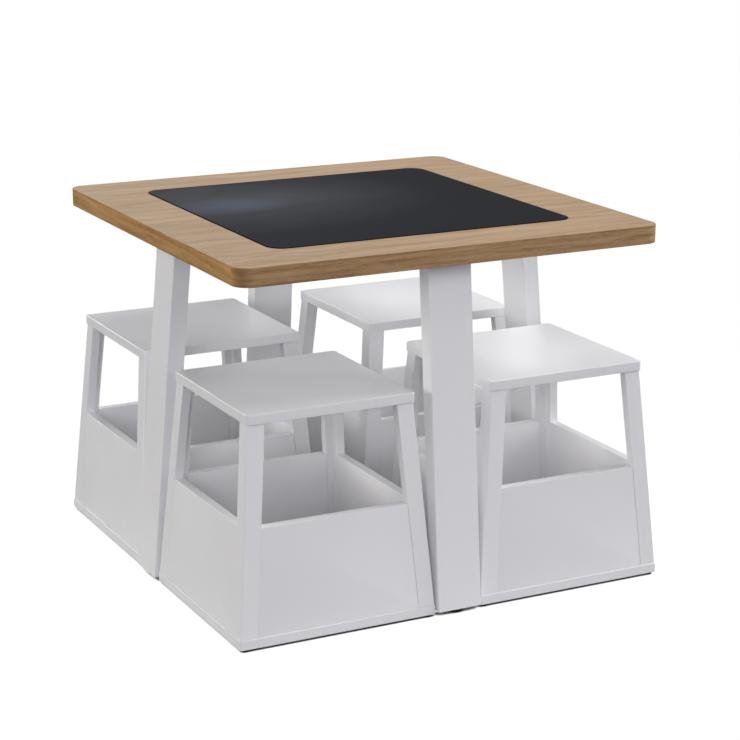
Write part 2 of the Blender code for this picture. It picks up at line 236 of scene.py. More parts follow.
def eased_outline(corners, radii, steps=CORNER_STEPS):
    """Outline through right-angled corners, each eased by a quarter circle.

    With unit steps a back to the last corner and b on to the next one, the corner at p becomes
    p + r (a + b) - r (b cos t + a sin t), for t from nothing to a quarter turn. The outward direction
    is -(b cos t + a sin t) at a corner that turns left, and its opposite at one that turns right.
    """
    place = np.array(corners, float)
    radius = np.array(radii, float).reshape(-1, 1)
    back = np.roll(place, 1, axis=0) - place
    ahead = np.roll(place, -1, axis=0) - place
    back /= np.linalg.norm(back, axis=1, keepdims=True)
    ahead /= np.linalg.norm(ahead, axis=1, keepdims=True)
    hand = np.sign(back[:, 1] * ahead[:, 0] - back[:, 0] * ahead[:, 1])[:, None, None]
    turn = np.linspace(0, QUARTER, steps + 1)[None, :, None]
    spoke = ahead[:, None] * np.cos(turn) + back[:, None] * np.sin(turn)
    points = (place + radius * (back + ahead))[:, None] - radius[:, None] * spoke
    return points.reshape(-1, 2), (-hand * spoke).reshape(-1, 2)


def rectangle(width, depth, radius, steps=CORNER_STEPS):
    """A rounded rectangle about zero: four right-angled corners, eased alike."""
    x, y = width / 2, depth / 2
    return eased_outline([(-x, -y), (x, -y), (x, y), (-x, y)], [radius] * 4, steps)


def angle_section(width, wall, outer_radius, end_radius, steps=ARRIS_STEPS):
    """The section of a post: two arms of one width and wall, with the outer corner at zero."""
    corners = [(0, 0), (width, 0), (width, wall), (wall, wall), (wall, width), (0, width)]
    return eased_outline(corners, [outer_radius] + [end_radius] * 5, steps)


def eased_levels(low, high, arris, steps=ARRIS_STEPS):
    """Insets and levels of an upright face between two ends that are eased by quarter circles.

    At the lower end the inset is r (1 - sin t) and the level low + r (1 - cos t), for t from nothing
    to a quarter turn. The upper end is its mirror image.
    """
    turn = np.linspace(0, QUARTER, steps + 1)
    inset = arris * (1 - np.sin(turn))
    rise = arris * (1 - np.cos(turn))
    return np.concatenate([inset, inset[::-1]]), np.concatenate([low + rise, (high - rise)[::-1]])


def rings_of(outline, insets, levels):
    """Rings of an upright shape: at each level the outline moves in by the inset along its directions."""
    points, outward = outline
    flat = points[None] - np.asarray(insets)[:, None, None] * outward[None]
    level = np.broadcast_to(np.asarray(levels)[:, None, None], flat.shape[:2] + (1,))
    return np.concatenate([flat, level], axis=2)


def turned_rings(radii, levels, steps=AROUND_STEPS):
    """Rings of a turned shape: (r cos a, r sin a, level) for a once around."""
    angle = np.linspace(0, 4 * QUARTER, steps, endpoint=False)
    radius = np.asarray(radii)[:, None]
    level = np.broadcast_to(np.asarray(levels)[:, None], (len(radii), steps))
    return np.stack([radius * np.cos(angle), radius * np.sin(angle), level], axis=2)


def quarter_turned(rings, turns, centre=(0.0, 0.0)):
    """The rings turned about an upright line by whole quarter turns: (x, y) goes to (-y, x) each time."""
    turn = np.array(Matrix.Rotation(QUARTER * turns, 3, "Z"))
    middle = np.array([centre[0], centre[1], 0.0])
    return (rings - middle) @ turn.T + middle


# Pieces

def area_vectors(points, faces):
    """Each flat face's outward direction times its area: half the sum of the cross products of
    neighbouring corners, taken from the face's first corner."""
    arm = points[faces] - points[faces[:, :1]]
    return np.cross(arm[:, 1:-1], arm[:, 2:]).sum(axis=1) / 2


def closed_mesh(name, rings, grain=None, finishes=None):
    """A closed mesh through rings of points, shape (levels, points, 3).

    Neighbouring rings are joined by quads, and the first and the last ring, which are flat, are each
    filled by one face. The faces point outwards when the sum of area vector times face centre is
    positive, and are turned over when it isn't. A point's normal is the sum of its faces' area
    vectors, so broad flat faces stay flat beside their eased edges. Grain holds a vector for each
    corner of each quad, shape (levels - 1, points, 4, 3). Finishes holds a material index for each
    row of quads, and for the first and the last ring.
    """
    levels, around = rings.shape[:2]
    points = rings.reshape(-1, 3)
    row, column = np.indices((levels - 1, around))
    ahead = (column + 1) % around
    quads = np.stack([row * around + column, row * around + ahead,
                      (row + 1) * around + ahead, (row + 1) * around + column], axis=-1).reshape(-1, 4)
    ends = np.stack([column[0, ::-1], column[0] + (levels - 1) * around])
    volume = sum((area_vectors(points, f) * points[f].mean(axis=1)).sum() for f in (quads, ends))
    if volume < 0:
        quads, ends = quads[:, ::-1], ends[:, ::-1]
    normals = np.zeros_like(points)
    for faces in (quads, ends):
        np.add.at(normals, faces, area_vectors(points, faces)[:, None])
    normals /= np.linalg.norm(normals, axis=1, keepdims=True)
    mesh = bpy.data.meshes.new(name)
    mesh.from_pydata(points.tolist(), [], quads.tolist() + ends.tolist())
    mesh.shade_smooth()
    mesh.normals_split_custom_set_from_vertices(normals.tolist())
    if grain is not None:
        values = np.concatenate([grain.reshape(-1, 3), points[ends].reshape(-1, 3) * (1, 1, 0)])
        mesh.attributes.new("grain", "FLOAT_VECTOR", "CORNER").data.foreach_set("vector", values.ravel())
    if finishes is not None:
        index = np.append(np.repeat(finishes[:-2], around), finishes[-2:])
        mesh.polygons.foreach_set("material_index", index.astype(np.int32))
    return mesh


def place_piece(name, mesh, body, finishes):
    """Puts a mesh in the scene as a piece with its finishes, on a body of the frame."""
    for finish in finishes:
        mesh.materials.append(finish)
    piece = bpy.data.objects.new(name, mesh)
    bpy.context.scene.collection.objects.link(piece)
    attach(piece, body)
    return piece


def stand_for(node, name, mesh, slot, *finishes):
    """Makes a piece on its node's body, and lets it stand for the node."""
    piece = place_piece(name, mesh, frame["nodes"][node]["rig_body"], finishes)
    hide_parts(node)


def dress(node, kind, rings, slot, finish):
    """Makes a closed surface through the rings, named for its node and kind, and stands it for the node."""
    name = f"{node}_{kind}"
    stand_for(node, name, closed_mesh(name, rings), slot, finish)


# Finishes

class Finish:
    """A material and short ways to make its nodes."""

    def __init__(self, name, **sockets):
        self.material = bpy.data.materials.new(name)
        self.material.use_nodes = True
        self.tree = self.material.node_tree
        self.shader = self.tree.nodes["Principled BSDF"]
        self.set(self.shader, {key.replace("_", " "): value for key, value in sockets.items()})

    def set(self, node, sockets):
        """Links a socket to each value that is an output, and sets the others."""
        for key, value in sockets.items():
            socket = node.inputs[key]
            if isinstance(value, bpy.types.NodeSocket):
                self.tree.links.new(value, socket)
            else:
                socket.default_value = value

    def add(self, kind, sockets, **settings):
        """A node with its settings and sockets."""
        node = self.tree.nodes.new(kind)
        for key, value in settings.items():
            setattr(node, key, value)
        self.set(node, sockets)
        return node

    def place(self):
        """The place on the piece, in metres."""
        return self.add("ShaderNodeTexCoord", {}).outputs["Object"]

    def attribute(self, name):
        """A vector that the mesh carries."""
        return self.add("ShaderNodeAttribute", {}, attribute_name=name).outputs["Vector"]

    def stretched(self, vector, scale, offset=(0, 0, 0)):
        """The vector times a scale for each axis, moved by an offset."""
        sockets = {"Vector": vector, "Scale": scale, "Location": offset}
        return self.add("ShaderNodeMapping", sockets).outputs["Vector"]

    def noise(self, vector, detail=2.0, roughness=0.5, scale=1.0, distortion=0.0):
        """Soft noise, about one half on average."""
        sockets = {"Vector": vector, "Scale": scale, "Detail": detail, "Roughness": roughness,
                   "Distortion": distortion}
        return self.add("ShaderNodeTexNoise", sockets).outputs["Fac"]

    def range(self, value, span, result=(0.0, 1.0)):
        """The value's span, from its low to its high number, spread over the result and held there."""
        sockets = {"Value": value, "From Min": span[0], "From Max": span[1],
                   "To Min": result[0], "To Max": result[1]}
        return self.add("ShaderNodeMapRange", sockets).outputs["Result"]

    def sum(self, *values):
        """Values added up."""
        total = values[0]
        for value in values[1:]:
            node = self.add("ShaderNodeMath", {}, operation="ADD")
            self.set(node, {0: total, 1: value})
            total = node.outputs["Value"]
        return total

    def times(self, first, second):
        """One value times another."""
        node = self.add("ShaderNodeMath", {}, operation="MULTIPLY")
        self.set(node, {0: first, 1: second})
        return node.outputs["Value"]

    def ramp(self, value, places, tones):
        """Colours along a value, each tone at its place."""
        node = self.add("ShaderNodeValToRGB", {"Fac": value})
        elements = node.color_ramp.elements
        for end in (0, -1):
            elements[end].position, elements[end].color = places[end], (*tones[end], 1)
        for place, tone in zip(places[1:-1], tones[1:-1]):
            elements.new(place).color = (*tone, 1)
        return node.outputs["Color"]

    def mix(self, factor, first, second, blend="MIX"):
        """A colour mixed with a second one by a factor. The second may be three plain numbers."""
        if isinstance(second, tuple):
            second = (*second, 1)
        node = self.add("ShaderNodeMix", {}, data_type="RGBA", blend_type=blend)
        self.set(node, {0: factor, 6: first, 7: second})
        return node.outputs[2]

    def bump(self, height, distance, strength=1.0, under=None):
        """Fine relief: the height is one at full distance, in metres."""
        sockets = {"Height": height, "Distance": distance, "Strength": strength}
        if under is not None:
            sockets["Normal"] = under
        return self.add("ShaderNodeBump", sockets).outputs["Normal"]

    def shade(self, **sockets):
        """Sets or links sockets of the shader, and gives the material."""
        self.set(self.shader, {key.replace("_", " "): value for key, value in sockets.items()})
        return self.material


def oak_finish(name, tones, contrast, gloss, wave, figure_scale, line_scale, pore_scale):
    """Oak veneer, from the grain vector: along the grain, across it, and a share of warm tone.

    The across distance is moved by slow noise, so the figure waves. The broad figure, fine lines and
    short dark pores are noises at their own scales along the grain and across it. The tones run from
    dark to light.
    """
    oak = Finish(name, IOR=1.5, Specular_IOR_Level=0.15)
    grain = oak.attribute("grain")
    wander = oak.noise(oak.stretched(grain, WANDER_SCALE))
    parts = oak.add("ShaderNodeSeparateXYZ", {"Vector": grain}).outputs
    across = oak.sum(parts["Y"], oak.range(wander, HALF_SPAN, (-wave, wave)))
    moved = oak.add("ShaderNodeCombineXYZ", {"X": parts["X"], "Y": across}).outputs["Vector"]
    figure = oak.noise(oak.stretched(moved, (*figure_scale, 1.0)), detail=3.0)
    lines = oak.noise(oak.stretched(moved, (*line_scale, 1.0), (3.1, 0.7, 0.0)), detail=4.0, roughness=0.6)
    pores = oak.noise(oak.stretched(moved, (*pore_scale, 1.0), (1.7, 5.2, 0.0)))
    clouds = oak.noise(oak.stretched(moved, CLOUD_SCALE, (8.0, 2.0, 0.0)))
    shares = ((figure, FIGURE_SHARE), (lines, LINE_SHARE), (clouds, CLOUD_SHARE))
    tone = oak.sum(*(oak.times(oak.range(noise, WIDE_SPAN), share) for noise, share in shares))
    spread = oak.range(tone, (0.5 - 0.5 / contrast, 0.5 + 0.5 / contrast))
    colour = oak.ramp(spread, (0.0, 0.5, 1.0), tones)
    pore_mask = oak.range(pores, PORE_SPAN)
    pore_dark = oak.times(pore_mask, oak.range(lines, (0.35, 0.6), (0.75, 0.25)))
    colour = oak.mix(pore_dark, colour, tuple(PORE_TONE_SHARE * value for value in tones[0]))
    height = oak.sum(oak.times(lines, 0.4), oak.times(pore_mask, -0.6))
    return oak, parts, colour, oak.range(tone, WIDE_SPAN, (gloss + 0.06, gloss - 0.04)), height


def oak_face():
    """The top's veneer, with the grain from side to side and painted shade darkening it towards the left
    end.
    """
    oak, parts, colour, gloss, height = oak_finish("oak_face", **FACE_VENEER)
    # painted shade: the face is mixed towards black towards its left end
    colour = oak.mix(oak.range(parts["X"], LEFT_PAINTED_SHADE_SPAN, (LEFT_PAINTED_SHADE, 0.0)), colour, (0, 0, 0))
    relief = oak.bump(height, FACE_RELIEF, strength=0.6)
    return oak.shade(Base_Color=colour, Roughness=gloss, Normal=relief)


def oak_band():
    """The veneer band on the edges, whose grain runs lengthwise, more golden on the two sides.

    It has painted shade where it bends round a corner, and more at the left end: the sideways share times
    its rest is a quarter halfway round the bend, and nothing on the straight sides.
    """
    oak, parts, colour, gloss, height = oak_finish("oak_band", **BAND_VENEER)
    golden = oak.mix(1.0, colour, SIDE_TINT, "MULTIPLY")
    sideways = parts["Z"]
    tone = oak.mix(sideways, colour, golden)
    place = oak.add("ShaderNodeSeparateXYZ", {"Vector": oak.place()}).outputs
    bend = oak.times(sideways, oak.range(sideways, (0.0, 1.0), (1.0, 0.0)))
    # painted shade round the corners, stronger at the left end
    bend_painted_shade = oak.times(bend, oak.range(place["X"], BEND_PAINTED_SHADE_SPAN, BEND_PAINTED_SHADE))
    tone = oak.mix(bend_painted_shade, tone, BEND_PAINTED_SHADE_TONE)
    relief = oak.bump(height, BAND_RELIEF, strength=0.7)
    return oak.shade(Base_Color=tone, Roughness=gloss, Normal=relief)


def writing_surface():
    """Matt charcoal paint with a fine tooth, and soft lighter patches in its colour.

    The patches are thickest in a bluish one at the left and thin out towards the middle. Each patch is one
    minus the distance from its middle, in a length and a breadth of its own.
    """
    board = Finish("writing_surface", IOR=1.45, Specular_IOR_Level=0.02)
    place = board.place()
    patch_place = board.stretched(place, PATCH_NOISE_SCALE, (0.35, 0.2, 0.0))
    patch_noise = board.noise(patch_place, detail=3.0, distortion=0.6)
    speckle = board.noise(place, detail=3.0, roughness=0.6, scale=TOOTH_SCALE)
    colour = (*BOARD_PAINT, 1)
    # lighter, bluish patches mixed into the paint's colour
    for middle, reach, tint in LIGHTER_PATCHES:
        scale = (1 / reach[0], 1 / reach[1], 0.0)
        offset = (-middle[0] / reach[0], -middle[1] / reach[1], 0.0)
        near = board.add("ShaderNodeTexGradient", {"Vector": board.stretched(place, scale, offset)},
                         gradient_type="SPHERICAL").outputs["Fac"]
        patch = board.times(near, board.range(patch_noise, HALF_SPAN, (0.7, 1.3)))
        colour = board.mix(patch, colour, tint)
    return board.shade(Base_Color=colour, Roughness=board.range(speckle, WIDE_SPAN, PAINT_ROUGHNESS),
                       Normal=board.bump(speckle, PAINT_TOOTH, strength=0.35))


def edge_sealer():
    """Matt black sealer on the cut edge of the writing board, brushed on a little unevenly."""
    sealer = Finish("edge_sealer", IOR=1.4, Specular_IOR_Level=0.02)
    coat = sealer.noise(sealer.place(), detail=3.0, roughness=0.6, scale=SEALER_SCALE)
    colour = sealer.ramp(coat, (0.35, 0.70), SEALER_TONES)
    return sealer.shade(Base_Color=colour, Roughness=sealer.range(coat, CORE_SPAN, SEALER_ROUGHNESS),
                        Normal=sealer.bump(coat, SEALER_RELIEF, strength=0.4))


def lacquer_finish(name, drawn):
    """Satin white lacquer, with faint streaks: noise whose scale along each axis is given.

    The colour wanders by a hundredth or two, the gloss by a few hundredths, and the skin has the soft
    dimples of sprayed paint, about 2 millimetres across.
    """
    paint = Finish(name, IOR=1.5)
    place = paint.place()
    clouds = paint.noise(place, detail=3.0, scale=LACQUER_CLOUD_SCALE)
    streaks = paint.noise(paint.stretched(place, drawn, (1.3, 2.1, 0.4)), detail=3.0, roughness=0.55)
    dimples = paint.noise(place, scale=DIMPLE_SCALE)
    tone = paint.sum(paint.times(clouds, 0.6), paint.times(streaks, 0.4))
    colour = paint.ramp(tone, HALF_SPAN, LACQUER_TONES)
    gloss = paint.range(tone, CORE_SPAN, LACQUER_ROUGHNESS)
    drawn_relief = paint.bump(streaks, LACQUER_STREAKS, strength=0.35)
    relief = paint.bump(dimples, LACQUER_DIMPLES, strength=0.30, under=drawn_relief)
    return paint.shade(Base_Color=colour, Roughness=gloss, Normal=relief)


def moulded_plastic():
    """Black moulded plastic with a fine grain."""
    plastic = Finish("moulded_plastic", IOR=1.5)
    place = plastic.place()
    grain = plastic.noise(place, roughness=0.6, scale=PLASTIC_GRAIN_SCALE)
    wear = plastic.noise(place, detail=3.0, roughness=0.6, scale=PLASTIC_WEAR_SCALE)
    colour = plastic.ramp(wear, (0.35, 0.75), PLASTIC_TONES)
    return plastic.shade(Base_Color=colour, Roughness=plastic.range(wear, CORE_SPAN, PLASTIC_ROUGHNESS),
                         Normal=plastic.bump(grain, PLASTIC_RELIEF, strength=0.4))


def zinc_plate():
    """Bright zinc plate on pressed steel, with faint rolling marks and dull patches."""
    zinc = Finish("zinc_plate", Metallic=1.0)
    place = zinc.place()
    rolled = zinc.noise(zinc.stretched(place, ROLLED_SCALE), detail=3.0, roughness=0.6)
    patches = zinc.noise(place, detail=4.0, roughness=0.6, scale=ZINC_PATCH_SCALE)
    tone = zinc.sum(zinc.times(rolled, 0.4), zinc.times(patches, 0.6))
    colour = zinc.ramp(tone, CORE_SPAN, ZINC_TONES)
    return zinc.shade(Base_Color=colour, Roughness=zinc.range(tone, CORE_SPAN, ZINC_ROUGHNESS),
                      Normal=zinc.bump(rolled, ZINC_RELIEF, strength=0.4))


# Table

def make_top(face, band, under):
    """The top: an eased oak slab, white below, whose upper face runs on into the writing board's recess.

    The rings climb the rounded outline from the underside, cross the upper face to the recess's own
    rounded outline, and go down its wall. On the edge the grain vector is the distance around, the
    height, and the square of the outward direction's x, which is one on the two sides and nothing in
    front and behind. Elsewhere it is x and y.
    """
    low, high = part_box("table_top")
    board_low, board_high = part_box("chalkboard")
    outline = rectangle(high.x - low.x, high.y - low.y, TOP_CORNER_RADIUS)
    insets, levels = eased_levels(low.z, high.z, TOP_ARRIS)
    recess = board_high.x - board_low.x + 2 * BOARD_SIDE_GAP
    mouth = rectangle(recess, recess, BOARD_CORNER_RADIUS + BOARD_SIDE_GAP)
    floor = board_low.z - FIT_GAP
    down_insets, down_levels = eased_levels(floor, high.z, RECESS_ARRIS)
    count = len(down_levels) // 2
    lip_insets = np.concatenate([-down_insets[count:][::-1], [0.0, RECESS_ARRIS]])
    lip_levels = np.concatenate([down_levels[count:][::-1], [floor + RECESS_ARRIS, floor]])
    rings = np.concatenate([rings_of(outline, insets, levels), rings_of(mouth, lip_insets, lip_levels)])
    points, outward = outline
    step = np.linalg.norm(np.roll(points, -1, axis=0) - points, axis=1)
    around = np.concatenate([[0.0], np.cumsum(step)])
    side = outward[:, 0] ** 2
    row_low = np.arange(len(rings) - 1)
    on_edge = (row_low >= ARRIS_STEPS // 2) & (row_low < len(levels) - 1 - ARRIS_STEPS // 2)
    flat = np.stack([rings[:-1], np.roll(rings[:-1], -1, axis=1),
                     np.roll(rings[1:], -1, axis=1), rings[1:]], axis=2) * (1, 1, 0)
    edge = np.zeros_like(flat)
    edge[..., 0] = np.stack([around[:-1], around[1:], around[1:], around[:-1]], axis=1)
    edge[:, :, :2, 1] = rings[:-1, :, None, 2]
    edge[:, :, 2:, 1] = rings[1:, :, None, 2]
    edge[..., 2] = np.stack([side, np.roll(side, -1), np.roll(side, -1), side], axis=1)
    grain = np.where(on_edge[:, None, None, None], edge, flat)
    face_index, band_index, under_index = range(3)
    finishes = np.append(np.where(on_edge, band_index, face_index), [under_index, face_index])
    mesh = closed_mesh("oak_top", rings, grain, finishes)
    stand_for("table_top", "oak_top", mesh, "oak", face, band, under)


def make_writing_board(paint, edge):
    """The writing board: an eased rounded slab, a little proud of the oak, with a black sealed edge."""
    low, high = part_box("chalkboard")
    outline = rectangle(high.x - low.x, high.y - low.y, BOARD_CORNER_RADIUS)
    insets, levels = eased_levels(low.z, high.z, BOARD_ARRIS)
    rings = rings_of(outline, np.append(insets, BOARD_RIM), np.append(levels, high.z))
    paint_index, edge_index = range(2)
    mesh = closed_mesh("writing_board", rings, finishes=[edge_index] * len(rings) + [paint_index])
    stand_for("chalkboard", "writing_board", mesh, "blackboard", paint, edge)


def leg_slope():
    """How far the leg moves out for each metre down: what its solid's depth has over its thickness."""
    low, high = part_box("front_leg")
    return (high.y - low.y - LEG_THICKNESS) / (high.z - low.z)


def make_leg(turns, lacquer):
    """A leg: a rounded rectangle that rises while it moves in by the slope, with square-cut ends."""
    low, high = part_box("front_leg")
    outline = rectangle(high.x - low.x, LEG_THICKNESS, LEG_ARRIS, 2 * ARRIS_STEPS)
    rings = rings_of(outline, *eased_levels(low.z, high.z, POST_CUT_ARRIS))
    rings[..., 1] += low.y + LEG_THICKNESS / 2 + leg_slope() * (rings[..., 2] - low.z)
    dress(SIDES[turns] + "_leg", "board", quarter_turned(rings, turns), "white_lacquer", lacquer)


def glide_rings(diameter, height):
    """A domed foot, from the nail hole in its middle over the flat and the quarter ellipse to its top.

    The ellipse is (flat + (radius - flat) sin t, rim (1 - cos t)) for t up to a quarter turn.
    """
    radius = diameter / 2
    flat, rim, hole = radius * GLIDE_FLAT_SHARE, height * GLIDE_RIM_SHARE, GLIDE_NAIL_DIAMETER / 2
    turn = np.linspace(0, QUARTER, 2 * ARRIS_STEPS)
    radii = np.concatenate([[hole, hole], flat + (radius - flat) * np.sin(turn), [radius]])
    levels = np.concatenate([[GLIDE_NAIL_DEPTH, 0.0], rim * (1 - np.cos(turn)), [height]])
    return turned_rings(radii, levels)


def make_leg_glide(turns, plastic):
    """The domed foot under a leg."""
    low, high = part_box("front_leg_glide")
    rings = glide_rings(LEG_GLIDE_DIAMETER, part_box("front_leg")[0].z - FIT_GAP)
    rings[..., 1] += (low.y + high.y) / 2
    dress(SIDES[turns] + "_leg_glide", "foot", quarter_turned(rings, turns), "black_plastic", plastic)


def bracket_path():
    """Middle line of the steel angle in the (y, z) plane, its unit directions, and how far from an
    end each of its points is, for which a whole arm is given round the bend.

    It runs from the free end of the upper arm to the bend, round an arc, and down the leg's inner
    face. The arc's radius is the inner bend plus half the thickness, and it starts and ends at that
    radius times the tangent of half the turn from where the two arms' middle lines cross.
    """
    leg_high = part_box("front_leg")[1]
    slope = leg_slope()
    steep = math.sqrt(1 + slope ** 2)
    half = BRACKET_THICKNESS / 2
    along, down = np.array([-1.0, 0.0]), np.array([-slope, -1.0]) / steep
    level = leg_high.z - half
    face = leg_high.y + FIT_GAP - slope * half + half * steep
    cross = np.array([face, level])
    turn = math.acos(float(along @ down))
    radius = BRACKET_BEND + half
    cut = radius * math.tan(turn / 2)
    upper = leg_high.y + FIT_GAP + BRACKET_ARM - cross[0] - cut
    lower = BRACKET_ARM - half - cut
    share = np.concatenate([ARM_END_SHARES, np.linspace(*ARM_SHARES, len(ARM_END_SHARES))])
    bend = np.linspace(0, turn, BEND_STEPS + 1)
    normal = np.array([0.0, -1.0])
    arc_middle = cross - along * cut + normal * radius
    first = (cross - along * cut) - along * upper * (1 - share[:, None])
    arc = arc_middle - radius * (normal * np.cos(bend)[:, None] - along * np.sin(bend)[:, None])
    last = (cross + down * cut) + down * lower * (1 - share[::-1, None])
    points = np.concatenate([first, arc, last])
    ways = np.concatenate([np.tile(along, (len(first), 1)),
                           along * np.cos(bend)[:, None] + normal * np.sin(bend)[:, None],
                           np.tile(down, (len(last), 1))])
    reach = np.concatenate([upper * share, np.full(len(arc), BRACKET_ARM), lower * share[::-1]])
    return points, ways, reach


def make_bracket(turns, zinc):
    """The steel angle: an eased strip carried along its bent path, with its four corners rounded.

    At a distance d from an end that is less than the corner radius R, the strip's half width is less
    by R - sqrt(R^2 - (R - d)^2).
    """
    points, ways, reach = bracket_path()
    outline, _ = rectangle(BRACKET_WIDTH, BRACKET_THICKNESS, BRACKET_ARRIS, ARRIS_STEPS)
    near = np.clip(BRACKET_CORNER_RADIUS - reach, 0, None)
    narrow = BRACKET_CORNER_RADIUS - np.sqrt(BRACKET_CORNER_RADIUS ** 2 - near ** 2)
    share = 1 - 2 * narrow / BRACKET_WIDTH
    rings = np.zeros((len(points), len(outline), 3))
    rings[..., 0] = outline[None, :, 0] * share[:, None]
    rings[..., 1] = points[:, None, 0] + outline[None, :, 1] * -ways[:, None, 1]
    rings[..., 2] = points[:, None, 1] + outline[None, :, 1] * ways[:, None, 0]
    dress(SIDES[turns] + "_leg_bracket", "angle", quarter_turned(rings, turns), "zinc_steel", zinc)


def screw_rings():
    """A pan head with a cross recess, about the Z axis, which points out of the head.

    The head is an upright rim and then a quarter ellipse. The recess lowers each point by its depth
    times a mask, which is one where either coordinate is inside the slot's half width and the point
    is inside the slot's length, and falls to nothing over the slot's ease.
    """
    radius, rim = SCREW_HEAD_DIAMETER / 2, SCREW_HEAD_HEIGHT * SCREW_RIM_SHARE
    spread = np.linspace(1, SCREW_CROWN_SHARE, SCREW_DOME_STEPS + 1)
    radii = np.concatenate([[radius * SCREW_UNDERSIDE_SHARE, radius], radius * spread])
    dome = rim + (SCREW_HEAD_HEIGHT - rim) * np.sqrt(1 - spread ** 2)
    rings = turned_rings(radii, np.concatenate([[0.0, 0.0], dome]))
    x, y = np.abs(rings[..., 0]), np.abs(rings[..., 1])
    in_slot = np.clip((SCREW_SLOT_WIDTH / 2 - np.minimum(x, y)) / SCREW_SLOT_EASE, 0, 1)
    in_length = np.clip((SCREW_SLOT_LENGTH / 2 - np.hypot(x, y)) / SCREW_SLOT_EASE, 0, 1)
    rings[..., 2] -= SCREW_SLOT_DEPTH * in_slot * in_length * (rings[..., 2] > rim)
    return rings


def make_bracket_screws(turns, zinc):
    """Four pan-head screws in the angle: two up into the top and two out into the leg."""
    leg_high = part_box("front_leg")[1]
    slope = leg_slope()
    rings = screw_rings()
    level = leg_high.z - BRACKET_ARM + BRACKET_SCREW_FROM_END
    inward = leg_high.y - slope * (leg_high.z - level) + BRACKET_THICKNESS + FIT_GAP
    upper_y = leg_high.y + FIT_GAP + BRACKET_ARM - BRACKET_SCREW_FROM_END
    lean = math.atan(slope)
    upward = Matrix.Rotation(2 * QUARTER, 4, "X")
    outward = Matrix.Rotation(-QUARTER + lean, 4, "X")
    places = ((upper_y, leg_high.z - BRACKET_THICKNESS, upward), (inward, level, outward))
    for arm, (y, z, turn) in zip(("upper", "lower"), places):
        for hand, side in (("left", -1), ("right", 1)):
            spin = Matrix.Rotation(SCREW_SPIN * side + turns, 4, "Z")
            x = side * BRACKET_SCREW_SPACING / 2
            way = np.array(Matrix.Translation((x, y, z)) @ turn @ spin)
            placed = rings @ way[:3, :3].T + way[:3, 3]
            name = f"{SIDES[turns]}_leg_bracket_{arm}_{hand}_screw"
            mesh = closed_mesh(name, quarter_turned(placed, turns))
            place_piece(name, mesh, frame["nodes"]["front_leg"]["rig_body"], [zinc])


# Stools

class Stool:
    """Sizes of a stool, from the boxes of its solids."""

    def __init__(self, corner):
        self.name = corner + "_stool"
        self.body = frame["nodes"][self.name + "_seat"]["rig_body"]
        self.seat_low, self.seat_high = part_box(self.name + "_seat")
        self.base_low, self.base_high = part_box(self.name + "_base_plate")
        self.middle = (self.seat_low + self.seat_high) / 2
        post_low, post_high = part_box(self.name + "_front_left_post")
        self.foot, self.top = self.base_high.z + FIT_GAP, self.seat_low.z - FIT_GAP
        self.half_foot = self.middle.x - post_low.x
        self.half_top = self.middle.x - post_high.x + POST_WIDTH
        self.panel_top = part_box(self.name + "_front_panel")[1].z

    def half_width(self, level):
        """Half the width over the posts, which draws in evenly from the foot to the top."""
        share = (level - self.foot) / (self.top - self.foot)
        return self.half_foot + (self.half_top - self.half_foot) * share

    def settle(self, rings, turns=0):
        """Rings made about the stool's middle, turned and moved to where it stands."""
        moved = quarter_turned(rings, turns)
        moved[..., 0] += self.middle.x
        moved[..., 1] += self.middle.y
        return moved


def make_seat(stool, lacquer):
    """The seat: an eased square board."""
    size = stool.seat_high - stool.seat_low
    outline = rectangle(size.x, size.y, SEAT_CORNER_RADIUS)
    rings = rings_of(outline, *eased_levels(stool.seat_low.z, stool.seat_high.z, SEAT_ARRIS))
    dress(stool.name + "_seat", "board", stool.settle(rings), "white_lacquer", lacquer)


def make_base(stool, lacquer, plastic):
    """The base board, and the four domed feet under its corners."""
    size = stool.base_high - stool.base_low
    under = stool.base_high.z - BASE_THICKNESS
    outline = rectangle(size.x, size.y, BASE_CORNER_RADIUS)
    rings = rings_of(outline, *eased_levels(under, stool.base_high.z, BASE_ARRIS))
    dress(stool.name + "_base_plate", "board", stool.settle(rings), "white_lacquer", lacquer)
    inward = size.x / 2 - STOOL_GLIDE_INSET
    for turns, corner in enumerate(CORNERS):
        foot = glide_rings(STOOL_GLIDE_DIAMETER, under)
        foot[..., :2] -= inward
        name = f"{stool.name}_{corner}_glide"
        mesh = closed_mesh(name, stool.settle(foot, turns))
        place_piece(name, mesh, stool.body, [plastic])


def make_post(stool, turns, lacquer):
    """A post: the angle section with its outer corner on the drawn-in half width at every level."""
    outline = angle_section(POST_WIDTH, WALL, POST_ARRIS, POST_END_ARRIS)
    rings = rings_of(outline, *eased_levels(stool.foot, stool.top, POST_CUT_ARRIS))
    half = stool.half_width(rings[..., 2])
    rings[..., 0] -= half
    rings[..., 1] -= half
    node = f"{stool.name}_{CORNERS[turns]}_post"
    dress(node, "timber", stool.settle(rings, turns), "white_lacquer", lacquer)


def make_panel(stool, turns, lacquer):
    """A side board: an eased rectangle through the wall's thickness, drawn in and leaned like the posts.

    A point p across, q up and d deep goes to (p w(q) / w(foot), d - h(q), q), where h is the half
    width over the posts and w is what is left of it between their arms.
    """
    between = POST_WIDTH + FIT_GAP
    reach = stool.half_foot - between
    points, outward = rectangle(2 * reach, stool.panel_top - stool.foot, PANEL_ARRIS, ARRIS_STEPS)
    outline = points + (0, (stool.panel_top + stool.foot) / 2), outward
    flat = rings_of(outline, *eased_levels(PANEL_SETBACK, WALL, PANEL_ARRIS))
    across, level, deep = flat[..., 0], flat[..., 1], flat[..., 2]
    half = stool.half_width(level)
    rings = np.stack([across * (half - between) / reach, deep - half, level], axis=2)
    node = f"{stool.name}_{SIDES[turns]}_panel"
    dress(node, "board", stool.settle(rings, turns), "white_lacquer", lacquer)


# Room, light and camera

